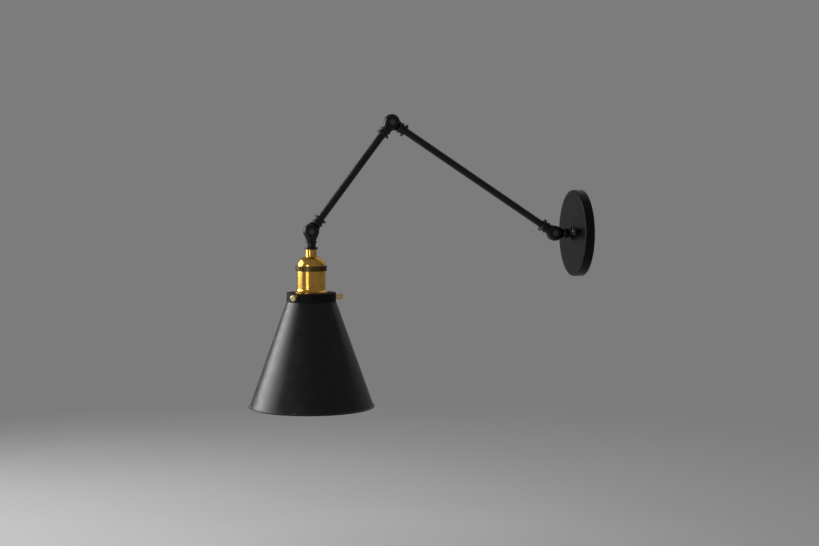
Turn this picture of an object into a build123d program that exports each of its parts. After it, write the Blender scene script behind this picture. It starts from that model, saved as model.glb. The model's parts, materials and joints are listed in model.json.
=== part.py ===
from build123d import *
import os
from math import asin, cos, degrees, pi, radians, sin

os.makedirs("parts", exist_ok=True)

# A black two-arm wall lamp with three friction knuckles, a brass lampholder and a cone shade.
# The wall is the plane Y = 0, the lamp reaches out along -Y, and +Z is up.
# The origin is the middle of the canopy's back, where the lamp meets the wall.
# All sizes are in millimetres.

# --- how the lamp stands at rest ------------------------------------------------------------
arm_1_length = 300.0        # wall hinge to elbow hinge
arm_2_length = 200.0        # elbow hinge to tip hinge
arm_1_rise = 33.5           # degrees above level, away from the wall
arm_2_fall = 53.0           # degrees below level, away from the wall
stub_length = 28.0          # canopy face to wall hinge

# --- wall canopy and bracket ----------------------------------------------------------------
canopy_diameter = 130.0
canopy_depth = 14.0
canopy_wall = 1.2
canopy_edge_radius = 1.8
canopy_screw_spacing = 70.0     # between the two ball nuts
canopy_screw_hole = 4.6
canopy_clocking = 6.0           # degrees that the ball nuts stand off level
swivel_clearance = 0.3          # round the nipple where it turns in the canopy
bracket_length = 92.0
bracket_width = 16.0
bracket_thickness = 1.6
bracket_joggle = 3.4            # how far its ends stand off the wall
bracket_foot_length = 54.0      # the stretch that lies on the wall
bracket_ramp = 4.0
bracket_cable_hole = 12.0
wall_slot_length = 9.0
wall_slot_width = 4.5
wall_slot_spacing = 38.0
machine_screw = 4.0             # thread of the canopy screws, pivots and thumbscrews
screw_head_diameter = 7.6
screw_head_height = 2.2
canopy_screw_reach = 7.1        # how far the two screws stand out of the canopy
ball_nut_diameter = 11.0
ball_nut_neck_diameter = 7.4
ball_nut_neck = 0.8             # canopy face to the underside of the ball
earth_screw_inset = 4.5         # in from one end of the bracket
earth_screw_drop = 3.0
earth_screw_length = 4.0
screw_slot_width = 1.0
screw_slot_depth = 1.0

# --- hollow thread that runs through all the joints -----------------------------------------
thread_diameter = 10.0
thread_gap = 0.05               # between a thread and what it screws into
nipple_bore = 7.2
lock_nut_flats = 14.0
lock_nut_height = 3.6
nipple_proud = 1.0              # how far the nipple stands out of its lock nut
tab_washer_diameter = 17.0
tab_washer_thickness = 1.0
tab_reach = 12.4                # radius at the tip of the stop tab
tab_width = 4.0
stop_pin_diameter = 2.4
stop_pin_circle = 10.4
stop_pin_length = 3.2
seat_ring_diameter = 24.0
seat_ring_thickness = 2.0

# --- knuckles -------------------------------------------------------------------------------
lobe_radius = 11.5
lobe_thickness = 7.6            # of each half
lobe_edge_radius = 5.0
friction_washer_thickness = 0.6     # also the gap between the two halves
friction_washer_diameter = 9.2
neck_diameter = 13.4
neck_shoulder = 12.2            # hinge to where a half widens to its full neck
thread_start = 13.2             # hinge to the end of the tube inside
bead_start = 13.8
bead_length = 3.3
bead_diameter = 17.2
bead_edge_radius = 1.4
sleeve_diameter = 14.0
arm_sleeve_end = 20.8           # hinge to the end of the sleeve on an arm
nipple_sleeve_end = 22.6        # the same where a half sits on a nipple
collar_length = 3.3
collar_diameter = 19.8
collar_edge_radius = 1.4
pocket_inner_radius = 4.8       # C-shaped channel that the wires take round the pivot
pocket_outer_radius = 8.8
pocket_depth = 3.4
wire_slot_width = 5.0
wire_slot_height = 2.6
stop_angle = 90.0               # how far a knuckle bends each way from straight
stop_post_diameter = 2.4
stop_post_circle = 6.8
stop_post_reach = 2.6
stop_clearance = 0.3
far_pocket_angle = 150.0
pivot_clearance = 0.05          # running fit of the pivot screw
pivot_head_diameter = 9.0
pivot_head_height = 1.9
pivot_recess_diameter = 10.6
pivot_recess_depth = 2.9
pivot_slot_width = 1.3
pivot_slot_depth = 0.9
pivot_slot_angle = 35.0
spring_washer_thickness = 0.8
pivot_nut_flats = 7.0
pivot_nut_height = 2.8
pivot_nut_clearance = 0.1

# --- arms -----------------------------------------------------------------------------------
tube_diameter = 10.6
tube_bore = 8.0
wire_diameter = 2.2
wire_spacing = 2.5              # between the two cores
wire_bend_radius = 3.0
seating_gap = 0.3

# --- lampholder, measured down from the tip hinge -------------------------------------------
cap_neck_diameter = 16.0
cap_neck_length = 10.6
dome_diameter = 40.8
dome_height = 13.4
brass_wall = 1.0
band_diameter = 45.6
band_height = 7.4
band_ribs = 56
band_rib_depth = 0.7
band_clearance = 0.1
flange_thickness = 2.0
shell_diameter = 42.2
shell_height = 25.6
foot_diameter = 48.6
foot_height = 6.2
foot_edge = 1.2                 # upright edge under the foot's flare
insert_diameter = 38.4
insert_below_plate = 14.0       # how far the lamp socket's mouth stands below the gallery plate
socket_bore = 28.4
socket_depth = 36.0
socket_edge_radius = 1.0
screw_shell_diameter = 26.6     # inside the E27 thread
screw_shell_wall = 0.6
screw_shell_length = 24.0
screw_shell_inset = 4.0         # back from the socket's mouth
contact_width = 6.0
contact_thickness = 0.6
contact_anchor = 8.0            # axis to the fixed end of the contact strip
contact_lift = 4.0              # axis to where the strip leaves the socket's floor
contact_fold = 8.0              # axis to the fold, and how far the fold stands off the floor
contact_fold_drop = 2.2
contact_tip = 2.0               # how far the tip passes the axis
contact_rise = 5.0              # how far the tip stands off the floor
terminal_spacing = 22.0
terminal_length = 8.0
terminal_width = 6.0
terminal_height = 4.5
terminal_corner_radius = 1.0
terminal_screw_head = 4.6
terminal_screw_height = 1.6
terminal_slot_width = 0.8
terminal_slot_depth = 0.8
set_screw_diameter = 3.0
set_screw_slot_width = 0.6
set_screw_slot_depth = 1.0
retaining_ring_diameter = 50.0
retaining_ring_height = 6.0
retaining_ring_notches = 12
retaining_ring_notch = 3.0

# --- shade ----------------------------------------------------------------------------------
gallery_diameter = 72.4
gallery_height = 13.0
gallery_wall = 1.2
gallery_edge_radius = 1.0
gallery_hole_clearance = 0.3
shade_height = 155.2            # gallery's lower edge to the shade's mouth
shade_rim_diameter = 181.0
shade_wall = 0.8
rim_flare = 2.0                 # how far the rolled edge stands out
rim_bead_diameter = 2.8
shade_neck_diameter = 62.0
shade_neck_clearance = 1.0      # under the gallery plate
shade_lip = 1.2
thumb_screw_count = 3
thumb_screw_angle = 76.0        # plan angle of the first thumbscrew
thumb_screw_drop = 5.6          # below the gallery's top
thumb_boss_diameter = 8.0
thumb_boss_length = 1.8
thumb_shoulder_diameter = 6.2
thumb_shoulder_length = 3.2
thumb_head_diameter = 9.0
thumb_head_length = 7.2
thumb_end_radius = 1.2
thumb_plain_end = 1.6           # the end of the head that isn't gripped
thumb_grip_count = 16
thumb_grip_diameter = 1.1

# --- places worked out from the sizes above -------------------------------------------------
half_gap = friction_washer_thickness / 2
thread_hole = thread_diameter + 2 * thread_gap
wall_hinge = Vector(0, -canopy_depth - stub_length, 0)
out_along_arm_1 = Vector(0, -cos(radians(arm_1_rise)), sin(radians(arm_1_rise)))
out_along_arm_2 = Vector(0, -cos(radians(arm_2_fall)), -sin(radians(arm_2_fall)))
elbow_hinge = wall_hinge + out_along_arm_1 * arm_1_length
tip_hinge = elbow_hinge + out_along_arm_2 * arm_2_length
to_wall = Vector(0, 1, 0)
down = Vector(0, 0, -1)


def export(part, name):
    """Name one finished piece and write it to its own file."""
    part.label = name
    export_step(part, f"parts/{name}.step")


# ============================================================================================
# Wall canopy, bracket and the fixings between them
# ============================================================================================
canopy_radius = canopy_diameter / 2
nipple_hole = thread_diameter + 2 * swivel_clearance
screw_line = Plane(origin=(0, -canopy_depth, 0), z_dir=(0, -1, 0),
                   x_dir=(cos(radians(canopy_clocking)), 0, sin(radians(canopy_clocking))))

# A shallow spun pan, open at the back, with a turned-over edge.
with BuildPart() as wall_canopy:
    with BuildSketch(Plane.XY):
        with BuildLine():
            Polyline((0, -canopy_depth), (canopy_radius, -canopy_depth), (canopy_radius, 0),
                     (canopy_radius - canopy_wall, 0),
                     (canopy_radius - canopy_wall, canopy_wall - canopy_depth),
                     (0, canopy_wall - canopy_depth), close=True)
        make_face()
    revolve(axis=Axis.Y)
    outer_edge = wall_canopy.faces().sort_by(Axis.Y)[0].edges().filter_by(GeomType.CIRCLE)
    fillet(outer_edge, canopy_edge_radius)
    with BuildSketch(screw_line):
        Circle(nipple_hole / 2)
        with GridLocations(canopy_screw_spacing, 0, 2, 1):
            Circle(canopy_screw_hole / 2)
        with Locations((0, -stop_pin_circle)):
            Circle(stop_pin_diameter / 2)
    extrude(amount=-2 * canopy_wall, mode=Mode.SUBTRACT)
export(wall_canopy.part, "wall_canopy")

# The stop pin is riveted through the canopy's face and stands into its hollow.
with BuildPart() as swivel_stop_pin:
    with BuildSketch(screw_line):
        with Locations((0, -stop_pin_circle)):
            Circle(stop_pin_diameter / 2)
    extrude(amount=-canopy_wall - stop_pin_length)
export(swivel_stop_pin.part, "swivel_stop_pin")

# A joggled steel crossbar: its middle is screwed flat to the wall and its ends stand off.
# The bar is level, and its tapped holes stand a few degrees off level, as the ball nuts do.
wall_side = screw_line.offset(-canopy_depth)
earth_screw_place = (bracket_length / 2 - earth_screw_inset, -earth_screw_drop)
with BuildPart() as mounting_bracket:
    with BuildSketch(Plane.XY):
        foot, end = bracket_foot_length / 2, bracket_length / 2
        with BuildLine():
            lower = Polyline((0, 0), (foot, 0), (foot + bracket_ramp, -bracket_joggle),
                             (end, -bracket_joggle), (end, -bracket_joggle - bracket_thickness),
                             (foot + bracket_ramp, -bracket_joggle - bracket_thickness),
                             (foot, -bracket_thickness), (0, -bracket_thickness))
            mirror(lower, about=Plane.YZ)
        make_face()
    extrude(amount=bracket_width / 2, both=True)
    with BuildSketch(Plane.XZ):
        Circle(bracket_cable_hole / 2)
        with GridLocations(wall_slot_spacing, 0, 2, 1):
            SlotOverall(wall_slot_length, wall_slot_width)
    extrude(amount=bracket_thickness, mode=Mode.SUBTRACT)
    with BuildSketch(wall_side):
        with GridLocations(canopy_screw_spacing, 0, 2, 1):
            Circle(machine_screw / 2 + thread_gap)
    extrude(amount=bracket_joggle + bracket_thickness, mode=Mode.SUBTRACT)
    with BuildSketch(Plane.XZ):
        with Locations(earth_screw_place):
            Circle(machine_screw / 2 + thread_gap)
    extrude(amount=bracket_joggle + bracket_thickness, mode=Mode.SUBTRACT)
export(mounting_bracket.part, "mounting_bracket")

# The earth wire's screw stands on one raised end of the bracket.
bracket_front = Plane.XZ.offset(bracket_joggle + bracket_thickness)
with BuildPart() as earth_screw:
    with BuildSketch(bracket_front):
        with Locations(earth_screw_place):
            Circle(screw_head_diameter / 2)
    extrude(amount=screw_head_height)
    with BuildSketch(bracket_front):
        with Locations(earth_screw_place):
            Circle(machine_screw / 2)
    extrude(amount=-earth_screw_length)
    with BuildSketch(bracket_front.offset(screw_head_height)):
        with Locations(earth_screw_place):
            Rectangle(screw_head_diameter, screw_slot_width)
    extrude(amount=-screw_slot_depth, mode=Mode.SUBTRACT)
export(earth_screw.part, "earth_screw")

# Two machine screws stand out of the bracket's raised ends and pass through the canopy.
screw_seat = wall_side.offset(bracket_joggle)
screw_length = canopy_depth - bracket_joggle + canopy_screw_reach
with BuildPart() as canopy_screws:
    with BuildSketch(screw_seat):
        with GridLocations(canopy_screw_spacing, 0, 2, 1):
            Circle(screw_head_diameter / 2)
    extrude(amount=-screw_head_height)
    with BuildSketch(screw_seat):
        with GridLocations(canopy_screw_spacing, 0, 2, 1):
            Circle(machine_screw / 2)
    extrude(amount=screw_length)
export(canopy_screws.part, "canopy_screws")

# Two ball nuts draw the canopy back against the wall.
ball_radius = ball_nut_diameter / 2
with BuildPart() as ball_nuts:
    with BuildSketch(screw_line):
        with GridLocations(canopy_screw_spacing, 0, 2, 1):
            Circle(ball_nut_neck_diameter / 2)
    extrude(amount=ball_nut_neck + ball_radius)
    with Locations(screw_line.offset(ball_nut_neck + ball_radius)):
        with GridLocations(canopy_screw_spacing, 0, 2, 1):
            Sphere(ball_radius)
    with BuildSketch(screw_line):
        with GridLocations(canopy_screw_spacing, 0, 2, 1):
            Circle(machine_screw / 2 + thread_gap)
    extrude(amount=canopy_screw_reach + thread_gap, mode=Mode.SUBTRACT)
export(ball_nuts.part, "ball_nuts")

# ============================================================================================
# The hollow nipple that carries the lamp, and what holds it in the canopy
# ============================================================================================
# A turned ring between the canopy's face and the stub.
with BuildPart() as seat_ring:
    with BuildSketch(screw_line):
        Circle(seat_ring_diameter / 2)
        Circle(thread_hole / 2, mode=Mode.SUBTRACT)
    extrude(amount=seat_ring_thickness)
    rim = seat_ring.faces().sort_by(Axis.Y)[0].edges().sort_by(SortBy.LENGTH)[-1]
    fillet(rim, seat_ring_thickness / 2)
export(seat_ring.part, "seat_ring")

# The tab washer turns with the nipple; its tab meets the stop pin before the wires can twist.
inside_face = Plane(origin=(0, canopy_wall - canopy_depth, 0), x_dir=screw_line.x_dir, z_dir=(0, 1, 0))
with BuildPart() as swivel_tab_washer:
    with BuildSketch(inside_face):
        Circle(tab_washer_diameter / 2)
        with Locations((0, -tab_reach / 2)):
            Rectangle(tab_width, tab_reach)
        Circle(thread_hole / 2, mode=Mode.SUBTRACT)
    extrude(amount=tab_washer_thickness)
export(swivel_tab_washer.part, "swivel_tab_washer")

with BuildPart() as canopy_lock_nut:
    with BuildSketch(inside_face.offset(tab_washer_thickness)):
        RegularPolygon(lock_nut_flats / 2, 6, major_radius=False)
        Circle(thread_hole / 2, mode=Mode.SUBTRACT)
    extrude(amount=lock_nut_height)
export(canopy_lock_nut.part, "canopy_lock_nut")

nipple_reach = canopy_wall + tab_washer_thickness + lock_nut_height + nipple_proud
stub_plane = Plane(origin=wall_hinge, x_dir=(1, 0, 0), z_dir=(0, 1, 0))
with BuildPart() as canopy_nipple:
    with BuildSketch(stub_plane.offset(thread_start)):
        Circle(thread_diameter / 2)
        Circle(nipple_bore / 2, mode=Mode.SUBTRACT)
    extrude(amount=stub_length - thread_start + nipple_reach)
export(canopy_nipple.part, "canopy_nipple")


# ============================================================================================
# Knuckles: two cast halves that meet face to face on a pivot screw
# ============================================================================================
def half_plane(hinge, along_neck, is_near):
    """Plane on a hinge: X runs along the half's neck and Z out through its round lobe."""
    return Plane(origin=hinge, x_dir=along_neck, z_dir=(1 if is_near else -1, 0, 0))


def knuckle_half(seat, sleeve_end, is_near):
    """One half of a knuckle: a drawn-out lobe on a necked, beaded and threaded sleeve."""
    post_half_angle = degrees(asin((stop_post_diameter / 2 + stop_clearance) / stop_post_circle))
    pocket_angle = stop_angle + post_half_angle if is_near else far_pocket_angle
    across_neck = Plane(origin=seat.origin, x_dir=seat.y_dir, z_dir=seat.x_dir)
    outer_face = seat.offset(half_gap + lobe_thickness)
    with BuildPart() as half:
        # the lobe is a disc drawn out to the width of the neck
        with BuildSketch(seat.offset(half_gap)):
            Circle(lobe_radius)
            with Locations(((neck_shoulder + bead_start) / 2, 0)):
                Rectangle(bead_start - neck_shoulder, neck_diameter)
            make_hull()
        extrude(amount=lobe_thickness)
        face_edges = half.faces().sort_by(Axis(seat.origin, seat.z_dir))[-1].edges()
        fillet(face_edges.sort_by(Axis(seat.origin, seat.x_dir))[:-1], lobe_edge_radius)
        # the neck, its bead and its sleeve are turned about the neck's own line
        with BuildSketch(seat):
            with BuildLine():
                Polyline((neck_shoulder, 0), (neck_shoulder, neck_diameter / 2),
                         (bead_start, neck_diameter / 2), (bead_start, bead_diameter / 2),
                         (bead_start + bead_length, bead_diameter / 2),
                         (bead_start + bead_length, sleeve_diameter / 2),
                         (sleeve_end, sleeve_diameter / 2), (sleeve_end, 0), close=True)
            profile = make_face()
            fillet(profile.vertices().group_by(Axis.Y)[-1], bead_edge_radius)
        revolve(axis=Axis(seat.origin, seat.x_dir))
        # thread for the tube or nipple, and the way for the wires into the lobe
        with BuildSketch(across_neck.offset(thread_start)):
            Circle(thread_hole / 2)
        extrude(amount=sleeve_end - thread_start, mode=Mode.SUBTRACT)
        with BuildSketch(seat.offset(half_gap)):
            with BuildLine():
                CenterArc((0, 0), pocket_outer_radius, -pocket_angle, 2 * pocket_angle)
                CenterArc((0, 0), pocket_inner_radius, -pocket_angle, 2 * pocket_angle)
                for side in (-pocket_angle, pocket_angle):
                    PolarLine((pocket_inner_radius * cos(radians(side)),
                               pocket_inner_radius * sin(radians(side))),
                              pocket_outer_radius - pocket_inner_radius, side)
            make_face()
        extrude(amount=pocket_depth, mode=Mode.SUBTRACT)
        with BuildSketch(across_neck.offset(thread_start)):
            with Locations((0, half_gap + pocket_depth - wire_slot_height / 2)):
                Rectangle(wire_slot_width, wire_slot_height)
        extrude(amount=(pocket_inner_radius + pocket_outer_radius) / 2 - thread_start,
                mode=Mode.SUBTRACT)
        if is_near:
            # recess for the pivot's head and a running hole for its shank
            with Locations(outer_face):
                CounterBoreHole(machine_screw / 2 + pivot_clearance,
                                pivot_recess_diameter / 2, pivot_recess_depth)
        else:
            # tapped hole, hexagon pocket for the nut, and the post that limits the bend
            with Locations(outer_face):
                Hole(machine_screw / 2 + thread_gap)
            with BuildSketch(outer_face):
                RegularPolygon(pivot_nut_flats / 2 + pivot_nut_clearance, 6, major_radius=False)
            extrude(amount=-pivot_nut_height - pivot_nut_clearance, mode=Mode.SUBTRACT)
            with BuildSketch(seat.offset(half_gap)):
                with Locations((-stop_post_circle, 0)):
                    Circle(stop_post_diameter / 2)
            extrude(amount=-2 * half_gap - stop_post_reach)
    return half.part


def pivot_screw(seat):
    """Slotted screw, headed in the near half and threaded into the far one."""
    head_seat = half_gap + lobe_thickness - pivot_recess_depth + spring_washer_thickness
    screw_end = half_gap + lobe_thickness
    with BuildPart() as screw:
        with BuildSketch(seat.offset(head_seat)):
            Circle(pivot_head_diameter / 2)
        extrude(amount=pivot_head_height)
        top = screw.faces().sort_by(Axis(seat.origin, seat.z_dir))[-1]
        fillet(top.edges(), pivot_head_height / 4)
        with BuildSketch(seat.offset(head_seat + pivot_head_height)):
            Rectangle(pivot_head_diameter, pivot_slot_width, rotation=pivot_slot_angle)
        extrude(amount=-pivot_slot_depth, mode=Mode.SUBTRACT)
        with BuildSketch(seat.offset(head_seat)):
            Circle(machine_screw / 2)
        extrude(amount=-head_seat - screw_end)
    return screw.part


def washer(seat, outer_diameter, thickness):
    """Flat ring round the pivot screw."""
    with BuildPart() as ring:
        with BuildSketch(seat):
            Circle(outer_diameter / 2)
            Circle(machine_screw / 2 + swivel_clearance, mode=Mode.SUBTRACT)
        extrude(amount=thickness)
    return ring.part


def pivot_nut(seat):
    """Hexagon nut sunk in the far half."""
    floor = half_gap + lobe_thickness - pivot_nut_height - pivot_nut_clearance
    with BuildPart() as nut:
        with BuildSketch(seat.offset(floor)):
            RegularPolygon(pivot_nut_flats / 2, 6, major_radius=False)
            Circle(machine_screw / 2 + thread_gap, mode=Mode.SUBTRACT)
        extrude(amount=pivot_nut_height)
    return nut.part


def knuckle(place, hinge, far_name, far_direction, far_end, near_name, near_direction, near_end):
    """All the pieces of one knuckle, the far half first."""
    far_seat = half_plane(hinge, far_direction, False)
    near_seat = half_plane(hinge, near_direction, True)
    recess_floor = half_gap + lobe_thickness - pivot_recess_depth
    export(knuckle_half(far_seat, far_end, False), far_name)
    export(knuckle_half(near_seat, near_end, True), near_name)
    export(pivot_screw(near_seat), f"{place}_pivot_screw")
    export(washer(near_seat.offset(recess_floor), pivot_head_diameter, spring_washer_thickness),
           f"{place}_spring_washer")
    export(washer(near_seat.offset(-half_gap), friction_washer_diameter,
                  friction_washer_thickness), f"{place}_friction_washer")
    export(pivot_nut(far_seat), f"{place}_pivot_nut")


knuckle("wall", wall_hinge, "wall_knuckle_stub_half", to_wall, nipple_sleeve_end,
        "wall_knuckle_arm_half", out_along_arm_1, arm_sleeve_end)
knuckle("elbow", elbow_hinge, "elbow_knuckle_lower_half", out_along_arm_1 * -1, arm_sleeve_end,
        "elbow_knuckle_upper_half", out_along_arm_2, arm_sleeve_end)
knuckle("tip", tip_hinge, "tip_knuckle_arm_half", out_along_arm_2 * -1, arm_sleeve_end,
        "tip_knuckle_lamp_half", down, nipple_sleeve_end)


# ============================================================================================
# Arms and lock collars
# ============================================================================================
def lock_collars(*places):
    """Rounded collars, each screwed up against the end of a sleeve."""
    with BuildPart() as collars:
        for seat, sleeve_end in places:
            with BuildSketch(seat):
                with BuildLine():
                    Polyline((sleeve_end, thread_hole / 2), (sleeve_end, collar_diameter / 2),
                             (sleeve_end + collar_length, collar_diameter / 2),
                             (sleeve_end + collar_length, thread_hole / 2), close=True)
                ring = make_face()
                fillet(ring.vertices().group_by(Axis.Y)[-1], collar_edge_radius)
            revolve(axis=Axis(seat.origin, seat.x_dir))
    return collars.part


def arm_tube(seat, length):
    """Steel tube, turned down to the thread at both ends."""
    turned_down = arm_sleeve_end + collar_length
    with BuildPart() as tube:
        with BuildSketch(seat):
            with BuildLine():
                Polyline((thread_start, tube_bore / 2), (thread_start, thread_diameter / 2),
                         (turned_down, thread_diameter / 2), (turned_down, tube_diameter / 2),
                         (length - turned_down, tube_diameter / 2),
                         (length - turned_down, thread_diameter / 2),
                         (length - thread_start, thread_diameter / 2),
                         (length - thread_start, tube_bore / 2), close=True)
            make_face()
        revolve(axis=Axis(seat.origin, seat.x_dir))
    return tube.part


def arm_wires(seat, length):
    """The two insulated cores that lie along the bottom of an arm."""
    sag = (tube_bore - wire_diameter) / 2 - seating_gap
    across = Plane(origin=seat.origin, x_dir=(1, 0, 0), z_dir=seat.x_dir)
    lift = (sag ** 2 - (wire_spacing / 2) ** 2) ** 0.5
    below = -lift if across.y_dir.Z > 0 else lift
    with BuildPart() as wires:
        with BuildSketch(across.offset(thread_start)):
            with Locations((-wire_spacing / 2, below), (wire_spacing / 2, below)):
                Circle(wire_diameter / 2)
        extrude(amount=length - 2 * thread_start)
    return wires.part


stub_seat = half_plane(wall_hinge, to_wall, False)
arm_1_seat = half_plane(wall_hinge, out_along_arm_1, True)
arm_1_end_seat = half_plane(elbow_hinge, out_along_arm_1 * -1, False)
arm_2_seat = half_plane(elbow_hinge, out_along_arm_2, True)
arm_2_end_seat = half_plane(tip_hinge, out_along_arm_2 * -1, False)
lamp_seat = half_plane(tip_hinge, down, True)

export(lock_collars((stub_seat, nipple_sleeve_end)), "stub_lock_collar")
export(lock_collars((arm_1_seat, arm_sleeve_end), (arm_1_end_seat, arm_sleeve_end)),
       "arm_1_lock_collars")
export(lock_collars((arm_2_seat, arm_sleeve_end), (arm_2_end_seat, arm_sleeve_end)),
       "arm_2_lock_collars")
export(lock_collars((lamp_seat, nipple_sleeve_end)), "lamp_lock_collar")
export(arm_tube(arm_1_seat, arm_1_length), "arm_1_tube")
export(arm_tube(arm_2_seat, arm_2_length), "arm_2_tube")
export(arm_wires(arm_1_seat, arm_1_length), "arm_1_wires")
export(arm_wires(arm_2_seat, arm_2_length), "arm_2_wires")

# ============================================================================================
# Lampholder, built down from the tip hinge. Profiles are drawn as (radius, height).
# ============================================================================================
lamp_side = Plane(origin=tip_hinge, x_dir=(0, 1, 0), z_dir=(1, 0, 0))
lamp_axis = Axis(tip_hinge, (0, 0, 1))
cap_top = -(nipple_sleeve_end + collar_length)
neck_foot = cap_top - cap_neck_length
dome_foot = neck_foot - dome_height
band_foot = dome_foot - band_height
shell_foot = band_foot - shell_height - foot_height
gallery_top = shell_foot
gallery_foot = gallery_top - gallery_height
socket_mouth = gallery_top - gallery_wall - insert_below_plate
joint_level = (dome_foot + band_foot) / 2       # inside the band, where cap and shell meet
dome_radius = dome_diameter / 2
shell_radius = shell_diameter / 2
insert_radius = insert_diameter / 2


def lamp_plane(height):
    """Level plane at a height on the lamp's own axis."""
    return Plane(origin=tip_hinge + Vector(0, 0, height))


# The hollow nipple joins the tip knuckle to the lampholder's cap.
with BuildPart() as lamp_nipple:
    with BuildSketch(lamp_plane(-thread_start)):
        Circle(thread_diameter / 2)
        Circle(nipple_bore / 2, mode=Mode.SUBTRACT)
    extrude(amount=neck_foot + thread_start)
export(lamp_nipple.part, "lamp_nipple")

# Pressed brass cap: a threaded neck on a domed shoulder.
cap_rim = joint_level + flange_thickness / 2
with BuildPart() as holder_cap:
    with BuildSketch(lamp_side):
        with BuildLine():
            neck_line = Polyline((thread_hole / 2, neck_foot - brass_wall),
                                 (thread_hole / 2, cap_top), (cap_neck_diameter / 2, cap_top),
                                 (cap_neck_diameter / 2, neck_foot))
            dome_line = EllipticalCenterArc((cap_neck_diameter / 2, dome_foot),
                                            dome_radius - cap_neck_diameter / 2, dome_height,
                                            start_angle=0, arc_size=90)
            Polyline((dome_radius, dome_foot), (dome_radius, cap_rim),
                     (dome_radius - brass_wall, cap_rim), (dome_radius - brass_wall, dome_foot))
            EllipticalCenterArc((cap_neck_diameter / 2, dome_foot),
                                dome_radius - brass_wall - cap_neck_diameter / 2,
                                dome_height - brass_wall, start_angle=0, arc_size=90)
            Line((cap_neck_diameter / 2, neck_foot - brass_wall),
                 (thread_hole / 2, neck_foot - brass_wall))
        make_face()
    revolve(axis=lamp_axis)
    top_edges = holder_cap.faces().sort_by(Axis.Z)[-1].edges().sort_by(SortBy.LENGTH)
    chamfer(top_edges[-1], brass_wall / 2)
    set_screw_plane = Plane(origin=tip_hinge + Vector(0, 0, (cap_top + neck_foot) / 2),
                            x_dir=(0, 1, 0), z_dir=(-1, 0, 0))
    with BuildSketch(set_screw_plane):
        Circle(set_screw_diameter / 2 + thread_gap)
    extrude(amount=cap_neck_diameter, mode=Mode.SUBTRACT)
export(holder_cap.part, "holder_cap")

# Slotted grub screw through the cap's neck, which stops the holder turning on its nipple.
with BuildPart() as holder_set_screw:
    with BuildSketch(set_screw_plane.offset(thread_diameter / 2 + thread_gap)):
        Circle(set_screw_diameter / 2)
    extrude(amount=cap_neck_diameter / 2 - thread_diameter / 2)
    with BuildSketch(set_screw_plane.offset(cap_neck_diameter / 2)):
        Rectangle(set_screw_diameter, set_screw_slot_width)
    extrude(amount=-set_screw_slot_depth, mode=Mode.SUBTRACT)
export(holder_set_screw.part, "holder_set_screw")

# Ribbed ring that screws the cap and the shell together.
rib_pitch = pi * band_diameter / band_ribs
with BuildPart() as ribbed_band:
    with BuildSketch(lamp_plane(band_foot)):
        Circle(band_diameter / 2)
        with PolarLocations(band_diameter / 2, band_ribs):
            Rectangle(2 * band_rib_depth, rib_pitch / 2, mode=Mode.SUBTRACT)
        Circle(dome_radius + band_clearance, mode=Mode.SUBTRACT)
    extrude(amount=band_height)
export(ribbed_band.part, "ribbed_band")

# Spun brass shell with a flared foot that stands on the shade's gallery.
shell_top = joint_level - flange_thickness / 2 - band_clearance
with BuildPart() as holder_shell:
    with BuildSketch(lamp_side):
        with BuildLine():
            Polyline((dome_radius - brass_wall, shell_top), (dome_radius, shell_top),
                     (dome_radius, band_foot), (shell_radius, band_foot),
                     (shell_radius, shell_foot + foot_height))
            TangentArc((shell_radius, shell_foot + foot_height),
                       (foot_diameter / 2, shell_foot + foot_edge), tangent=(0, -1))
            Polyline((foot_diameter / 2, shell_foot + foot_edge), (foot_diameter / 2, shell_foot),
                     (dome_radius - brass_wall, shell_foot), (dome_radius - brass_wall, shell_top))
        make_face()
    revolve(axis=lamp_axis)
export(holder_shell.part, "holder_shell")

# Porcelain body: a flange gripped inside the band, a deep socket and an outer thread.
flange_top = joint_level + flange_thickness / 2 - band_clearance
with BuildPart() as holder_insert:
    with BuildSketch(lamp_side):
        with BuildLine():
            Polyline((0, flange_top), (dome_radius - band_clearance, flange_top),
                     (dome_radius - band_clearance, flange_top - flange_thickness + band_clearance),
                     (insert_radius, flange_top - flange_thickness + band_clearance),
                     (insert_radius, socket_mouth), (socket_bore / 2, socket_mouth),
                     (socket_bore / 2, socket_mouth + socket_depth),
                     (0, socket_mouth + socket_depth), close=True)
        make_face()
    revolve(axis=lamp_axis)
    mouth_edges = holder_insert.faces().sort_by(Axis.Z)[0].edges()
    fillet(mouth_edges, socket_edge_radius)
export(holder_insert.part, "holder_insert")

# Brass screw shell of the socket, set back from its mouth.
screw_shell_foot = socket_mouth + screw_shell_inset
with BuildPart() as screw_shell:
    with BuildSketch(lamp_plane(screw_shell_foot)):
        Circle(screw_shell_diameter / 2 + screw_shell_wall)
        Circle(screw_shell_diameter / 2, mode=Mode.SUBTRACT)
    extrude(amount=screw_shell_length)
export(screw_shell.part, "screw_shell")

# Centre contact: a brass tongue that springs down from the socket's floor.
socket_floor = socket_mouth + socket_depth
with BuildPart() as centre_contact:
    with BuildSketch(lamp_side):
        with BuildLine():
            tongue = Polyline((-contact_anchor, socket_floor - contact_thickness / 2),
                              (contact_lift, socket_floor - contact_thickness / 2),
                              (contact_fold, socket_floor - contact_fold_drop),
                              (-contact_tip, socket_floor - contact_rise))
            offset(tongue, amount=contact_thickness / 2, side=Side.BOTH)
        make_face()
    extrude(amount=contact_width / 2, both=True)
export(centre_contact.part, "centre_contact")

# Two brass terminals stand on the porcelain under the cap's dome.
with BuildPart() as terminal_blocks:
    with BuildSketch(lamp_plane(flange_top)):
        with GridLocations(0, terminal_spacing, 1, 2):
            RectangleRounded(terminal_length, terminal_width, terminal_corner_radius)
    extrude(amount=terminal_height)
export(terminal_blocks.part, "terminal_blocks")

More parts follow.
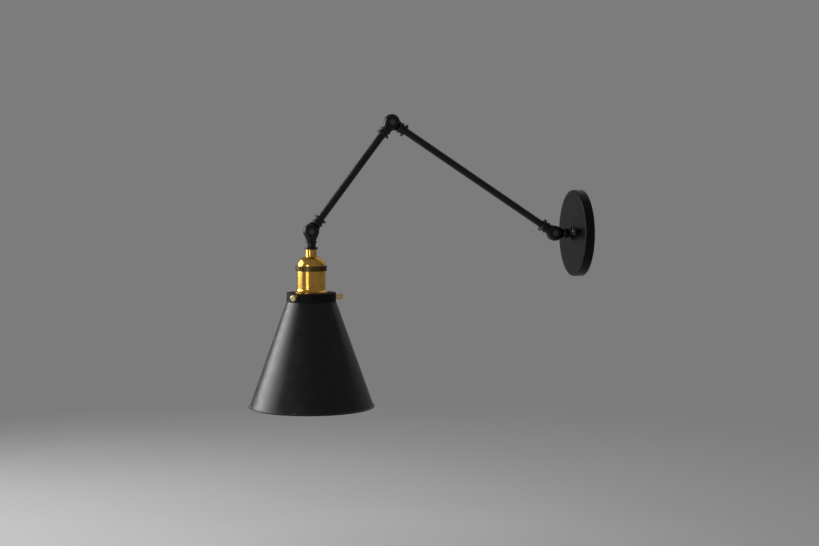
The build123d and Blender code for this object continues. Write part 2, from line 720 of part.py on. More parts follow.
with BuildPart() as terminal_screws:
    with BuildSketch(lamp_plane(flange_top + terminal_height)):
        with GridLocations(0, terminal_spacing, 1, 2):
            Circle(terminal_screw_head / 2)
    extrude(amount=terminal_screw_height)
    with BuildSketch(lamp_plane(flange_top + terminal_height + terminal_screw_height)):
        with GridLocations(0, terminal_spacing, 1, 2):
            Rectangle(terminal_screw_head, terminal_slot_width)
    extrude(amount=-terminal_slot_depth, mode=Mode.SUBTRACT)
export(terminal_screws.part, "terminal_screws")

# Two cores run down the nipple and part to the terminals.
terminal_inner = terminal_spacing / 2 - terminal_width / 2
wire_turn = flange_top + terminal_height / 2
with BuildPart() as lamp_wires:
    for side in (-1, 1):
        near_axis = side * wire_spacing / 2
        with BuildLine(lamp_side):
            FilletPolyline((near_axis, -thread_start), (near_axis, wire_turn),
                           (side * (terminal_inner - seating_gap), wire_turn),
                           radius=wire_bend_radius)
        with BuildSketch(Plane(origin=tip_hinge + Vector(0, near_axis, -thread_start),
                               x_dir=(1, 0, 0), z_dir=(0, 0, -1))):
            Circle(wire_diameter / 2)
        sweep()
export(lamp_wires.part, "lamp_wires")

# ============================================================================================
# Shade gallery, retaining ring, cone shade and thumbscrews
# ============================================================================================
gallery_radius = gallery_diameter / 2
screw_level = gallery_top - thumb_screw_drop


def thumb_screw_plane(index, radius):
    """Upright plane square to one thumbscrew, at a radius from the lamp's axis."""
    angle = radians(thumb_screw_angle + index * 360 / thumb_screw_count)
    outward = Vector(cos(angle), sin(angle), 0)
    return Plane(origin=tip_hinge + outward * radius + Vector(0, 0, screw_level),
                 x_dir=Vector(0, 0, 1), z_dir=outward)


# The gallery is a pressed cap with three tapped bosses inside its wall.
with BuildPart() as shade_gallery:
    with BuildSketch(lamp_side):
        with BuildLine():
            hole = insert_radius + gallery_hole_clearance
            Polyline((hole, gallery_top), (gallery_radius, gallery_top),
                     (gallery_radius, gallery_foot), (gallery_radius - gallery_wall, gallery_foot),
                     (gallery_radius - gallery_wall, gallery_top - gallery_wall),
                     (hole, gallery_top - gallery_wall), close=True)
        make_face()
    revolve(axis=lamp_axis)
    top_edges = shade_gallery.faces().sort_by(Axis.Z)[-1].edges().sort_by(SortBy.LENGTH)
    fillet(top_edges[-1], gallery_edge_radius)
    boss_start = gallery_radius - gallery_wall - thumb_boss_length
    for index in range(thumb_screw_count):
        with BuildSketch(thumb_screw_plane(index, boss_start)):
            Circle(thumb_boss_diameter / 2)
        extrude(amount=thumb_boss_length + gallery_wall / 2)
    for index in range(thumb_screw_count):
        with BuildSketch(thumb_screw_plane(index, 0)):
            Circle(machine_screw / 2 + thread_gap)
        extrude(amount=gallery_radius + thumb_shoulder_length, mode=Mode.SUBTRACT)
export(shade_gallery.part, "shade_gallery")

# Notched ring screwed up the porcelain under the gallery plate.
ring_top = gallery_top - gallery_wall
with BuildPart() as retaining_ring:
    with BuildSketch(lamp_plane(ring_top)):
        Circle(retaining_ring_diameter / 2)
        with PolarLocations(retaining_ring_diameter / 2, retaining_ring_notches):
            Circle(retaining_ring_notch / 2, mode=Mode.SUBTRACT)
        Circle(insert_radius + thread_gap, mode=Mode.SUBTRACT)
    extrude(amount=-retaining_ring_height)
export(retaining_ring.part, "retaining_ring")

# The shade is one spinning: a lipped neck, a flat shoulder, the cone and a rolled rim.
mouth_level = gallery_foot - shade_height
neck_radius = shade_neck_diameter / 2
shoulder_level = gallery_foot
rim_radius = shade_rim_diameter / 2
bead_radius = rim_bead_diameter / 2
rim_level = mouth_level + bead_radius
neck_top = gallery_top - gallery_wall - shade_neck_clearance
with BuildPart() as cone_shade:
    with BuildSketch(lamp_side):
        with BuildLine():
            Polyline((neck_radius, neck_top - shade_wall), (neck_radius + shade_lip, neck_top - shade_wall),
                     (neck_radius + shade_lip, neck_top), (neck_radius - shade_wall, neck_top),
                     (neck_radius - shade_wall, shoulder_level - shade_wall),
                     (gallery_radius - shade_wall, shoulder_level - shade_wall),
                     (rim_radius - shade_wall, rim_level), (rim_radius, rim_level),
                     (gallery_radius, shoulder_level), (neck_radius, shoulder_level), close=True)
        make_face()
        with Locations((rim_radius + rim_flare - bead_radius, rim_level)):
            Circle(bead_radius)
    revolve(axis=lamp_axis)
export(cone_shade.part, "cone_shade")

# Three knurled brass screws grip the shade's neck under its lip.
for index in range(thumb_screw_count):
    shoulder_start = gallery_radius + seating_gap
    head_start = shoulder_start + thumb_shoulder_length
    with BuildPart() as thumb_screw:
        with BuildSketch(thumb_screw_plane(index, neck_radius + thread_gap)):
            Circle(machine_screw / 2)
        extrude(amount=shoulder_start - neck_radius)
        with BuildSketch(thumb_screw_plane(index, shoulder_start)):
            Circle(thumb_shoulder_diameter / 2)
        extrude(amount=thumb_shoulder_length)
        with BuildSketch(thumb_screw_plane(index, head_start)):
            Circle(thumb_head_diameter / 2)
        extrude(amount=thumb_head_length)
        end_face = thumb_screw.faces().sort_by(Axis(thumb_screw_plane(index, 0).origin,
                                                    thumb_screw_plane(index, 0).z_dir))[-1]
        fillet(end_face.edges(), thumb_end_radius)
        with BuildSketch(thumb_screw_plane(index, head_start)):
            with PolarLocations(thumb_head_diameter / 2, thumb_grip_count):
                Circle(thumb_grip_diameter / 2)
        extrude(amount=thumb_head_length - thumb_plain_end, mode=Mode.SUBTRACT)
    export(thumb_screw.part, f"thumb_screw_{index + 1}")
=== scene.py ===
import json
from math import ceil, cos, pi, radians, sin, tan

import bpy
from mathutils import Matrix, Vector


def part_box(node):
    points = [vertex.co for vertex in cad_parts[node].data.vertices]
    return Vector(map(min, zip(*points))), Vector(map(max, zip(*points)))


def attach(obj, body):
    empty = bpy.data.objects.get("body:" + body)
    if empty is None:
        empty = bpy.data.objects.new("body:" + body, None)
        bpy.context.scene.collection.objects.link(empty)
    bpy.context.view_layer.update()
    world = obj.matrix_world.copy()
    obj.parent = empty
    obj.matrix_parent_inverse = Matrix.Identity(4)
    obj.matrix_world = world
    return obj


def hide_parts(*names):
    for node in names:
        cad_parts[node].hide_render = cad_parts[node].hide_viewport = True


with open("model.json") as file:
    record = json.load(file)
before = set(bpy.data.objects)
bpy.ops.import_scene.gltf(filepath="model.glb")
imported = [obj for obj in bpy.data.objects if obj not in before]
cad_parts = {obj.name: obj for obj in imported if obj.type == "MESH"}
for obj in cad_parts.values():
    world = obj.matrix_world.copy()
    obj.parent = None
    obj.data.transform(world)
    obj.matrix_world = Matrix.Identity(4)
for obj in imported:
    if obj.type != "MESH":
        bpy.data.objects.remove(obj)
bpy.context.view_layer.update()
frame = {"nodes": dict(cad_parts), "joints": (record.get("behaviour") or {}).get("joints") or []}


# ---------------------------------------------------------------------------
# The wall canopy is a shallow spun steel pan, sprayed with a duller black enamel than the
# satin one that the arms, knuckles and collars share, so the enamel's recipe stands here.
# ---------------------------------------------------------------------------
MM = 0.001


def new_finish(name):
    """An empty node material, its shader, and a texture coordinate in the piece's own space."""
    material = bpy.data.materials.new(name)
    material.use_nodes = True
    tree = material.node_tree
    place = tree.nodes.new("ShaderNodeTexCoord")
    return material, tree, tree.nodes["Principled BSDF"], place.outputs["Object"]


def grain(tree, place, size_mm, detail=3.0, roughness=0.5, stretch=(1, 1, 1)):
    """Noise whose blotches are about size_mm across, longer where stretch is under 1."""
    mapping = tree.nodes.new("ShaderNodeMapping")
    mapping.inputs["Scale"].default_value = stretch
    noise = tree.nodes.new("ShaderNodeTexNoise")
    noise.inputs["Scale"].default_value = 1 / (size_mm * MM)
    noise.inputs["Detail"].default_value = detail
    noise.inputs["Roughness"].default_value = roughness
    tree.links.new(place, mapping.inputs["Vector"])
    tree.links.new(mapping.outputs["Vector"], noise.inputs["Vector"])
    return noise.outputs["Fac"]


def spread(tree, value, low, high, start=0.3, end=0.7):
    """Maps a noise onto a range, such as a roughness."""
    ranges = tree.nodes.new("ShaderNodeMapRange")
    ranges.inputs["From Min"].default_value = start
    ranges.inputs["From Max"].default_value = end
    ranges.inputs["To Min"].default_value = low
    ranges.inputs["To Max"].default_value = high
    tree.links.new(value, ranges.inputs["Value"])
    return ranges.outputs["Result"]


def tint(tree, value, stops):
    """Colours a noise: stops are (position, (r, g, b))."""
    ramp = tree.nodes.new("ShaderNodeValToRGB")
    while len(ramp.color_ramp.elements) < len(stops):
        ramp.color_ramp.elements.new(0.5)
    for element, (position, colour) in zip(ramp.color_ramp.elements, stops):
        element.position = position
        element.color = (*colour, 1)
    tree.links.new(value, ramp.inputs["Fac"])
    return ramp.outputs["Color"]


def relief(tree, value, height_mm, strength=1.0, under=None):
    """Bumps of a real height, laid over an earlier relief if there is one."""
    bump = tree.nodes.new("ShaderNodeBump")
    bump.inputs["Distance"].default_value = height_mm * MM
    bump.inputs["Strength"].default_value = strength
    tree.links.new(value, bump.inputs["Height"])
    if under is not None:
        tree.links.new(under, bump.inputs["Normal"])
    return bump.outputs["Normal"]


def black_enamel(name, gloss, peel_mm, colour, shine=0.34):
    """Sprayed black enamel: faint orange peel, a wandering sheen and a little dust."""
    material, tree, shader, place = new_finish(name)
    drift = grain(tree, place, 14.0, detail=4.0)
    peel = grain(tree, place, peel_mm, detail=1.0)
    dust = grain(tree, place, 0.5, detail=5.0, roughness=0.7)
    dark = tuple(0.75 * c for c in colour)
    pale = tuple(1.5 * c for c in colour)
    tree.links.new(tint(tree, drift, [(0.3, dark), (0.5, colour), (0.72, pale)]),
                   shader.inputs["Base Color"])
    tree.links.new(spread(tree, drift, gloss - 0.04, gloss + 0.07), shader.inputs["Roughness"])
    orange_peel = relief(tree, peel, height_mm=0.012, strength=0.25)
    dusty = relief(tree, dust, height_mm=0.004, strength=0.12, under=orange_peel)
    tree.links.new(dusty, shader.inputs["Normal"])
    shader.inputs["Specular IOR Level"].default_value = shine
    return material


def dress(material, *names):
    """Gives a finish to CAD nodes, whose shapes stay as they are."""
    for name in names:
        mesh = frame["nodes"][name].data
        mesh.materials.clear()
        mesh.materials.append(material)


enamel = black_enamel("satin_black_enamel", gloss=0.30, peel_mm=1.4,
                      colour=(0.0062, 0.0058, 0.0054))
dress(enamel, "seat_ring")
dress(black_enamel("dull_black_enamel", gloss=0.30, peel_mm=1.8, colour=(0.0068, 0.0065, 0.0062),
                   shine=0.12), "wall_canopy")

# ---------------------------------------------------------------------------
# Behind the canopy, a joggled crossbar of zinc-plated steel is screwed to the wall. Two
# machine screws stand out of it, and a brass screw takes the earth wire.
# ---------------------------------------------------------------------------
weld_distance = 0.002 * MM


def plated_steel(name, colour, gloss):
    """Zinc-plated steel: bluish blotches from the bath under fine rolling marks."""
    material, tree, shader, place = new_finish(name)
    bath = grain(tree, place, 6.0, detail=5.0)
    marks = grain(tree, place, 0.6, detail=2.0, stretch=(0.06, 1, 1))
    dull = tuple(0.72 * c for c in colour)
    tree.links.new(tint(tree, bath, [(0.3, dull), (0.55, colour)]), shader.inputs["Base Color"])
    tree.links.new(spread(tree, bath, gloss + 0.12, gloss), shader.inputs["Roughness"])
    tree.links.new(relief(tree, marks, height_mm=0.006, strength=0.5), shader.inputs["Normal"])
    shader.inputs["Metallic"].default_value = 1.0
    return material


zinc = plated_steel("zinc_plated_steel", colour=(0.55, 0.56, 0.58), gloss=0.28)
dress(zinc, "mounting_bracket", "swivel_stop_pin", "swivel_tab_washer", "canopy_lock_nut",
      "lamp_nipple", "terminal_screws", "retaining_ring", "wall_spring_washer",
      "elbow_spring_washer", "tip_spring_washer")
dress(enamel, "ball_nuts")


def wound_thread(name, crest, depth, pitch, length, sides, steps=6, closed=True):
    """A screw thread up the Z axis from the origin: one pitch, wound up and cut off square."""
    start = -1.5 * pitch  # the ragged first turn is cut off below the origin
    bpy.ops.object.select_all(action="DESELECT")
    bpy.ops.mesh.primitive_plane_add(size=depth, location=(crest, 0, start))
    piece = bpy.context.object
    piece.name = name
    bpy.ops.object.transform_apply(location=True)
    bpy.ops.object.mode_set(mode="EDIT")
    bpy.ops.mesh.select_all(action="SELECT")
    bpy.ops.mesh.merge(type="CENTER")
    radius = crest
    for step in range(1, steps + 1):
        next_radius = crest - depth * (0.5 - 0.5 * cos(2 * pi * step / steps))
        bpy.ops.mesh.extrude_vertices_move(
            TRANSFORM_OT_translate={"value": (next_radius - radius, 0, pitch / steps)})
        radius = next_radius
    bpy.ops.object.mode_set(mode="OBJECT")
    winding = piece.modifiers.new("winding", "SCREW")
    winding.screw_offset = pitch
    winding.iterations = ceil(length / pitch) + 2
    winding.steps = winding.render_steps = sides
    bpy.ops.object.modifier_apply(modifier=winding.name)
    bpy.ops.object.mode_set(mode="EDIT")
    bpy.ops.mesh.select_all(action="SELECT")
    bpy.ops.mesh.remove_doubles(threshold=weld_distance)
    bpy.ops.mesh.bisect(plane_co=(0, 0, 0), plane_no=(0, 0, 1), use_fill=closed,
                        clear_inner=True)
    bpy.ops.mesh.select_all(action="SELECT")
    bpy.ops.mesh.bisect(plane_co=(0, 0, length), plane_no=(0, 0, 1), use_fill=closed,
                        clear_outer=True)
    bpy.ops.mesh.select_all(action="SELECT")
    bpy.ops.mesh.normals_make_consistent(inside=False)
    bpy.ops.object.mode_set(mode="OBJECT")
    bpy.ops.object.shade_smooth_by_angle(angle=radians(60))
    return piece


def cut_away(piece, tool):
    """Cuts the shape of a tool out of a piece and throws the tool away."""
    cut = piece.modifiers.new("cut", "BOOLEAN")
    cut.operation, cut.solver, cut.object = "DIFFERENCE", "EXACT", tool
    bpy.context.view_layer.objects.active = piece
    bpy.ops.object.modifier_apply(modifier=cut.name)
    bpy.data.objects.remove(tool)


def join(pieces):
    """Makes one object of several; the first gives its name."""
    bpy.ops.object.select_all(action="DESELECT")
    for piece in pieces:
        piece.select_set(True)
    bpy.context.view_layer.objects.active = pieces[0]
    bpy.ops.object.join()
    return pieces[0]


def point_out_of_wall(piece, place):
    """Lays a piece that was made up the Z axis along -Y, with its foot at a place."""
    bpy.ops.object.select_all(action="DESELECT")
    piece.select_set(True)
    bpy.context.view_layer.objects.active = piece
    piece.rotation_euler = (radians(90), 0, 0)
    piece.location = place
    bpy.ops.object.transform_apply(location=True, rotation=True, scale=True)


# The machine screws are M4, with a slotted cheese head on the wall side of the crossbar.
screws_low, screws_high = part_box("canopy_screws")
head_radius, head_height, head_edge = 3.8 * MM, 2.2 * MM, 0.35 * MM
slot_width, slot_depth = 1.0 * MM, 1.0 * MM
screw_from_middle, clocking = 35 * MM, radians(6)
screw_seat = screws_high.y - head_height
shank = wound_thread("canopy_machine_screws", crest=2.0 * MM, depth=0.4 * MM, pitch=0.7 * MM,
                     length=screw_seat - screws_low.y, sides=24)
bpy.ops.object.select_all(action="DESELECT")
bpy.ops.mesh.primitive_cylinder_add(vertices=48, radius=head_radius, depth=head_height,
                                    location=(0, 0, -head_height / 2))
head = bpy.context.object
rounding = head.modifiers.new("rounding", "BEVEL")
rounding.width, rounding.segments, rounding.limit_method = head_edge, 3, "ANGLE"
bpy.ops.object.modifier_apply(modifier=rounding.name)
bpy.ops.mesh.primitive_cube_add(size=1, location=(0, 0, -head_height))
slot_cutter = bpy.context.object
slot_cutter.scale = (3 * head_radius, slot_width, 2 * slot_depth)
cut_away(head, slot_cutter)
bpy.context.view_layer.objects.active = head
head.select_set(True)
bpy.ops.object.shade_smooth_by_angle(angle=radians(32))
first_screw = join([shank, head])
bpy.ops.object.duplicate()
second_screw = bpy.context.object
screw_offset = Vector((cos(clocking), 0, sin(clocking))) * screw_from_middle
point_out_of_wall(first_screw, screw_offset + Vector((0, screw_seat, 0)))
point_out_of_wall(second_screw, Vector((0, screw_seat, 0)) - screw_offset)
machine_screws = join([first_screw, second_screw])
machine_screws.data.materials.append(zinc)
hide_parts("canopy_screws")
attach(machine_screws, "canopy")

# The hollow nipple is cut from M10 x 1 all-thread; its end shows inside the canopy.
nipple_low, nipple_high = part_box("canopy_nipple")
nipple_length = nipple_high.y - nipple_low.y
nipple_bore = 3.6 * MM
nipple = wound_thread("threaded_canopy_nipple", crest=5.0 * MM, depth=0.6 * MM, pitch=1.0 * MM,
                      length=nipple_length, sides=40)
bpy.ops.object.select_all(action="DESELECT")
bpy.ops.mesh.primitive_cylinder_add(vertices=40, radius=nipple_bore, depth=3 * nipple_length)
cut_away(nipple, bpy.context.object)
point_out_of_wall(nipple, Vector((0, nipple_high.y, 0)))
nipple.data.materials.append(zinc)
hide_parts("canopy_nipple")
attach(nipple, "stub")

# ---------------------------------------------------------------------------
# The knuckles are cast halves, turned at their necks, then enamelled like the rest. Each
# pair is clamped on a nylon washer by a slotted screw and a nut of blackened steel.
# ---------------------------------------------------------------------------
dress(enamel, "wall_knuckle_stub_half", "wall_knuckle_arm_half", "elbow_knuckle_lower_half",
      "elbow_knuckle_upper_half", "tip_knuckle_arm_half", "tip_knuckle_lamp_half",
      "stub_lock_collar", "lamp_lock_collar", "arm_1_lock_collars", "arm_2_lock_collars",
      "arm_1_tube", "arm_2_tube")

blackened = plated_steel("blackened_steel", colour=(0.12, 0.115, 0.11), gloss=0.18)
dress(blackened, "wall_pivot_screw", "elbow_pivot_screw", "tip_pivot_screw", "wall_pivot_nut",
      "elbow_pivot_nut", "tip_pivot_nut")


def smooth_plastic(name, colour, gloss):
    """Moulded plastic, with a soft mottle in its colour and sheen."""
    material, tree, shader, place = new_finish(name)
    mottle = grain(tree, place, 2.0)
    dark = tuple(0.8 * c for c in colour)
    tree.links.new(tint(tree, mottle, [(0.35, dark), (0.6, colour)]), shader.inputs["Base Color"])
    tree.links.new(spread(tree, mottle, gloss, gloss + 0.1), shader.inputs["Roughness"])
    return material


dress(smooth_plastic("natural_nylon", colour=(0.7, 0.68, 0.62), gloss=0.45),
      "wall_friction_washer", "elbow_friction_washer", "tip_friction_washer")
dress(smooth_plastic("brown_insulation", colour=(0.16, 0.07, 0.03), gloss=0.4),
      "arm_1_wires", "arm_2_wires", "lamp_wires")

# ---------------------------------------------------------------------------
# The lampholder's cap and shell are spun brass, polished on the lathe and left bare, with a
# bronzed ribbed ring between them. The socket inside is glazed porcelain.
# ---------------------------------------------------------------------------


def polished_brass(name, colour, gloss):
    """Bare brass: lathe lines round the lamp's axis, and a warm tarnish in patches."""
    material, tree, shader, place = new_finish(name)
    tarnish = grain(tree, place, 9.0, detail=5.0)
    lathe = grain(tree, place, 0.5, detail=2.0, stretch=(0.03, 0.03, 1))
    deep = (0.78 * colour[0], 0.66 * colour[1], 0.5 * colour[2])
    tree.links.new(tint(tree, tarnish, [(0.28, deep), (0.6, colour)]),
                   shader.inputs["Base Color"])
    tree.links.new(spread(tree, tarnish, gloss + 0.08, gloss), shader.inputs["Roughness"])
    tree.links.new(relief(tree, lathe, height_mm=0.004, strength=0.4), shader.inputs["Normal"])
    shader.inputs["Metallic"].default_value = 1.0
    return material


brass = polished_brass("polished_brass", colour=(0.80, 0.47, 0.10), gloss=0.16)
dress(brass, "earth_screw", "holder_cap", "holder_shell", "holder_set_screw",
      "centre_contact", "terminal_blocks")
bronze = polished_brass("bronzed_brass", colour=(0.15, 0.115, 0.05), gloss=0.34)
dress(bronze, "ribbed_band")


def porcelain():
    """Glazed white porcelain with faint specks from the kiln."""
    material, tree, shader, place = new_finish("glazed_porcelain")
    specks = grain(tree, place, 0.8, detail=6.0, roughness=0.8)
    tree.links.new(tint(tree, specks, [(0.30, (0.62, 0.58, 0.50)), (0.40, (0.80, 0.79, 0.75))]),
                   shader.inputs["Base Color"])
    tree.links.new(spread(tree, specks, 0.22, 0.12), shader.inputs["Roughness"])
    shader.inputs["Coat Weight"].default_value = 0.6
    return material


glaze = porcelain()
dress(glaze, "holder_insert")

# The socket's screw shell is thin brass, pressed into the round thread that a bulb turns in.
shell_low, shell_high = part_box("screw_shell")
socket_axis = Vector(((shell_low.x + shell_high.x) / 2, (shell_low.y + shell_high.y) / 2, 0))
shell_sheet = 0.6 * MM
shell_crest = (shell_high.x - shell_low.x) / 2 - shell_sheet
shell_thread = wound_thread("threaded_screw_shell", crest=shell_crest, depth=1.0 * MM,
                            pitch=3.63 * MM, length=shell_high.z - shell_low.z, sides=64,
                            steps=12, closed=False)
sheet = shell_thread.modifiers.new("sheet", "SOLIDIFY")
sheet.thickness, sheet.offset = shell_sheet, 1
bpy.ops.object.modifier_apply(modifier=sheet.name)
shell_thread.location = socket_axis + Vector((0, 0, shell_low.z))
bpy.ops.object.transform_apply(location=True)
shell_thread.data.materials.append(brass)
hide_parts("screw_shell")
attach(shell_thread, "lamp_head")

# The porcelain has a coarse outer thread under the notched ring, here one ridge wound round it.
insert_low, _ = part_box("holder_insert")
insert_radius = 19.2 * MM
ridge_root, ridge_height, ridge_pitch = 1.8 * MM, 0.9 * MM, 2.6 * MM
ridge_round, ridge_turns, ridge_sides = 0.6 * MM, 2, 96
ridge_start = insert_low.z + 1.5 * MM
bpy.ops.object.select_all(action="DESELECT")
bpy.ops.mesh.primitive_plane_add(size=1, location=(insert_radius, 0, ridge_start),
                                 rotation=(radians(90), 0, 0))
ridge = bpy.context.object
ridge.name = "porcelain_outer_thread"
ridge.scale = (2 * ridge_height, ridge_root, 1)
bpy.ops.object.transform_apply(location=True, rotation=True, scale=True)
bpy.ops.object.mode_set(mode="EDIT")
bpy.ops.mesh.select_all(action="SELECT")
bpy.ops.mesh.bevel(offset=ridge_round, segments=3, affect="VERTICES")
bpy.ops.mesh.delete(type="ONLY_FACE")
bpy.ops.object.mode_set(mode="OBJECT")
winding = ridge.modifiers.new("winding", "SCREW")
winding.screw_offset, winding.iterations = ridge_pitch, ridge_turns
winding.steps = winding.render_steps = ridge_sides
bpy.ops.object.modifier_apply(modifier=winding.name)
bpy.ops.object.mode_set(mode="EDIT")
bpy.ops.mesh.select_all(action="SELECT")
bpy.ops.mesh.remove_doubles(threshold=weld_distance)
bpy.ops.mesh.fill_holes(sides=0)
bpy.ops.mesh.normals_make_consistent(inside=False)
bpy.ops.object.mode_set(mode="OBJECT")
bpy.ops.object.shade_smooth_by_angle(angle=radians(40))
ridge.location = socket_axis
bpy.ops.object.transform_apply(location=True)
ridge.data.materials.append(glaze)
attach(ridge, "lamp_head")

# ---------------------------------------------------------------------------
# The gallery and the cone shade are spun metal, the gallery in a duller black enamel than
# the shade. Three brass thumbscrews through the gallery's wall hold the shade by its lip.
# ---------------------------------------------------------------------------
shade_black = (0.0055, 0.0057, 0.0058)
shade_enamel = black_enamel("smooth_black_enamel", gloss=0.33, peel_mm=2.2, colour=shade_black)
dress(black_enamel("gallery_enamel", gloss=0.55, peel_mm=2.2, colour=shade_black, shine=0.12),
      "shade_gallery")
dress(polished_brass("pale_brass", colour=(0.86, 0.72, 0.38), gloss=0.26), "thumb_screw_1",
      "thumb_screw_2", "thumb_screw_3")


def pale_enamel():
    """Off-white satin enamel inside the shade, a little uneven from the spray."""
    material, tree, shader, place = new_finish("off_white_enamel")
    cloud = grain(tree, place, 30.0, detail=3.0)
    peel = grain(tree, place, 1.6, detail=1.0)
    tree.links.new(tint(tree, cloud, [(0.3, (0.70, 0.68, 0.63)), (0.7, (0.76, 0.75, 0.71))]),
                   shader.inputs["Base Color"])
    tree.links.new(spread(tree, cloud, 0.38, 0.5), shader.inputs["Roughness"])
    tree.links.new(relief(tree, peel, height_mm=0.012, strength=0.5), shader.inputs["Normal"])
    return material


def rounded_outline(corners, steps=6):
    """Closed outline in metres from corners (radius, height, rounding) in metres."""
    points = []
    for index, (radius, height, rounding) in enumerate(corners):
        corner = Vector((radius, height))
        if not rounding:
            points.append(corner)
            continue
        back = (Vector(corners[index - 1][:2]) - corner).normalized()
        onward = (Vector(corners[(index + 1) % len(corners)][:2]) - corner).normalized()
        half_angle = back.angle(onward) / 2
        middle = corner + (back + onward).normalized() * (rounding / sin(half_angle))
        start = corner + back * (rounding / tan(half_angle)) - middle
        end = corner + onward * (rounding / tan(half_angle)) - middle
        for step in range(steps + 1):
            points.append(middle + start.lerp(end, step / steps).normalized() * rounding)
    return points


def turned(name, outline, axis, sides=160):
    """Turns a closed outline of (radius, height) points once round an upright axis."""
    bpy.ops.object.select_all(action="DESELECT")
    radius, height = outline[0]
    bpy.ops.mesh.primitive_circle_add(vertices=sides, radius=radius,
                                      location=(axis.x, axis.y, height))
    piece = bpy.context.object
    piece.name = name
    bpy.ops.object.mode_set(mode="EDIT")
    for next_radius, next_height in [*outline[1:], outline[0]]:
        bpy.ops.mesh.extrude_region_move(
            TRANSFORM_OT_translate={"value": (0, 0, next_height - height)})
        growth = next_radius / radius
        bpy.ops.transform.resize(value=(growth, growth, 1),
                                 center_override=(axis.x, axis.y, next_height))
        radius, height = next_radius, next_height
    bpy.ops.mesh.select_all(action="SELECT")
    bpy.ops.mesh.remove_doubles(threshold=weld_distance)
    bpy.ops.mesh.normals_make_consistent(inside=False)
    bpy.ops.object.mode_set(mode="OBJECT")
    bpy.ops.object.transform_apply(location=True, rotation=True, scale=True)
    bpy.ops.object.shade_smooth_by_angle(angle=radians(32))
    return piece


# The shade is one spinning: a lipped neck, a shoulder, the cone, and an edge rolled over.
shade_low, shade_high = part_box("cone_shade")
gallery_low, gallery_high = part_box("shade_gallery")
lamp_axis = Vector(((shade_low.x + shade_high.x) / 2, (shade_low.y + shade_high.y) / 2, 0))
shade_wall = 0.8 * MM
rim_round = 1.4 * MM
rim_flare = 2.0 * MM
neck_radius = 31.0 * MM
lip_width = 1.2 * MM
shoulder_radius = (gallery_high.x - gallery_low.x) / 2
shoulder_height = gallery_low.z
rim_radius = (shade_high.x - shade_low.x) / 2
edge_radius = rim_radius - rim_flare
rim_height = shade_low.z + rim_round
roll_centre = Vector((rim_radius - rim_round, rim_height))
roll_steps, roll_start, roll_turn = 16, 120, 300
roll = []
for step in range(roll_steps + 1):
    swing = radians(roll_start - roll_turn * step / roll_steps)
    roll.append(roll_centre + Vector((cos(swing), sin(swing))) * rim_round)
shade_outline = rounded_outline([
    (edge_radius - shade_wall, rim_height, 0),
    (shoulder_radius - shade_wall, shoulder_height - shade_wall, 0.6 * MM),
    (neck_radius - shade_wall, shoulder_height - shade_wall, 0),
    (neck_radius - shade_wall, shade_high.z, 0),
    (neck_radius + lip_width, shade_high.z, 0.3 * MM),
    (neck_radius + lip_width, shade_high.z - shade_wall, 0),
    (neck_radius, shade_high.z - shade_wall, 0),
    (neck_radius, shoulder_height, 0),
    (shoulder_radius, shoulder_height, 0.5 * MM),
]) + roll
spun_shade = turned("spun_shade", shade_outline, lamp_axis, sides=224)
spun_shade.data.materials.append(shade_enamel)
spun_shade.data.materials.append(pale_enamel())
for face in spun_shade.data.polygons:
    outward = face.center - lamp_axis
    outward.z = 0
    if face.normal.dot(outward) < 0 and rim_height < face.center.z < shoulder_height:
        face.material_index = 1
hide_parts("cone_shade")
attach(spun_shade, "lamp_head")

# ---------------------------------------------------------------------------
# Floor, light and camera. They aren't part of the lamp.
# ---------------------------------------------------------------------------
floor_level, floor_radius = -0.52, 3.0
floor_fades_from, floor_gone_at = 0.4, 1.9
bpy.ops.mesh.primitive_circle_add(vertices=96, radius=floor_radius, fill_type="NGON",
                                  location=(0, -0.25, floor_level))
floor = bpy.context.object
floor.name = "floor"
floor_paint, floor_tree, floor_shader, floor_place = new_finish("pale_floor")
floor_tone = grain(floor_tree, floor_place, 400.0)
floor_tree.links.new(tint(floor_tree, floor_tone, [(0.3, (0.60, 0.60, 0.60)),
                                                   (0.7, (0.63, 0.63, 0.63))]),
                     floor_shader.inputs["Base Color"])
floor_shader.inputs["Roughness"].default_value = 0.8
# it fades away towards its edge, so that no horizon crosses the picture
distance_out = floor_tree.nodes.new("ShaderNodeVectorMath")
distance_out.operation = "LENGTH"
floor_tree.links.new(floor_place, distance_out.inputs[0])
faded = spread(floor_tree, distance_out.outputs["Value"], 1, 0,
               start=floor_fades_from, end=floor_gone_at)
# its underside is clear, so that it doesn't hide the lamp from below
from_above = floor_tree.nodes.new("ShaderNodeMath")
from_above.operation, from_above.use_clamp = "SUBTRACT", True
underside = floor_tree.nodes.new("ShaderNodeNewGeometry").outputs["Backfacing"]
floor_tree.links.new(faded, from_above.inputs[0])
floor_tree.links.new(underside, from_above.inputs[1])
floor_tree.links.new(from_above.outputs["Value"], floor_shader.inputs["Alpha"])
floor.data.materials.append(floor_paint)

world = bpy.data.worlds.new("studio")
bpy.context.scene.world = world
world.use_nodes = True
sky = world.node_tree.nodes["Background"]
sky.inputs["Color"].default_value = (0.205, 0.20, 0.20, 1)
sky.inputs["Strength"].default_value = 1.0

tip_hinge = next(Vector(joint["pos_m"]) for joint in frame["joints"]
                 if joint["name"] == "tip_knuckle")
shade_middle = tip_hinge + Vector((0, 0, -0.18))


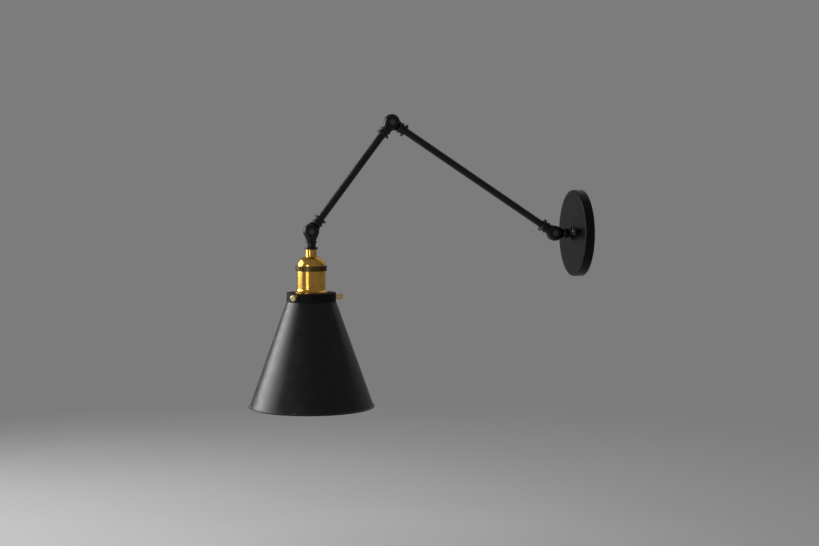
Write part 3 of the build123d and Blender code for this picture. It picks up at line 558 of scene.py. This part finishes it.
def soft_box(name, direction, distance, width, height, watts, colour):
    """A rectangular lamp that faces the middle of the shade from a direction."""
    lamp = bpy.data.lights.new(name, "AREA")
    lamp.shape = "RECTANGLE"
    lamp.size, lamp.size_y = width, height
    lamp.energy = watts
    lamp.color = colour
    box = bpy.data.objects.new(name, lamp)
    away = Vector(direction).normalized()
    box.location = shade_middle + away * distance
    box.rotation_mode = "QUATERNION"
    box.rotation_quaternion = away.to_track_quat("Z", "Y")
    bpy.context.scene.collection.objects.link(box)


soft_box("left_window", direction=(-0.52, -0.80, 0.34), distance=1.8, width=1.05, height=1.25,
         watts=30, colour=(0.97, 0.99, 1.0))
soft_box("window_edge", direction=(-0.10, -0.99, 0.34), distance=1.8, width=0.7, height=1.25,
         watts=7, colour=(0.98, 0.99, 1.0))
soft_box("key", direction=(0.76, -0.65, 0.04), distance=2.2, width=0.6, height=1.2,
         watts=5.5, colour=(1.0, 0.98, 0.94))
soft_box("back_fill", direction=(-0.50, 0.65, 0.60), distance=2.4, width=2.0, height=2.0,
         watts=3, colour=(1.0, 0.97, 0.94))

# The camera stands where the photograph was taken from, a little right of the lamp's side.
image_width, focal_pixels = 819, 1600.0
camera_azimuth, camera_pitch = radians(77.49), radians(3.875)
camera_distance = 2.3776
aim_right, aim_up = -0.06404, -0.05773
look_right = Vector((cos(camera_azimuth), sin(camera_azimuth), 0))
look_back = Vector((sin(camera_azimuth) * cos(camera_pitch),
                    -cos(camera_azimuth) * cos(camera_pitch), sin(camera_pitch)))
look_up = look_back.cross(look_right)
target = Vector((0, -0.2, 0)) + look_right * aim_right + look_up * aim_up
lens = bpy.data.cameras.new("camera")
lens.sensor_width = 36.0
lens.lens = focal_pixels * lens.sensor_width / image_width
lens.clip_start, lens.clip_end = 0.1, 50
camera = bpy.data.objects.new("camera", lens)
camera.rotation_mode = "QUATERNION"
camera.location = target + look_back * camera_distance
camera.rotation_quaternion = (-look_back).to_track_quat("-Z", "Y")
bpy.context.scene.collection.objects.link(camera)
bpy.context.scene.camera = camera

bpy.context.scene.view_settings.view_transform = "Standard"
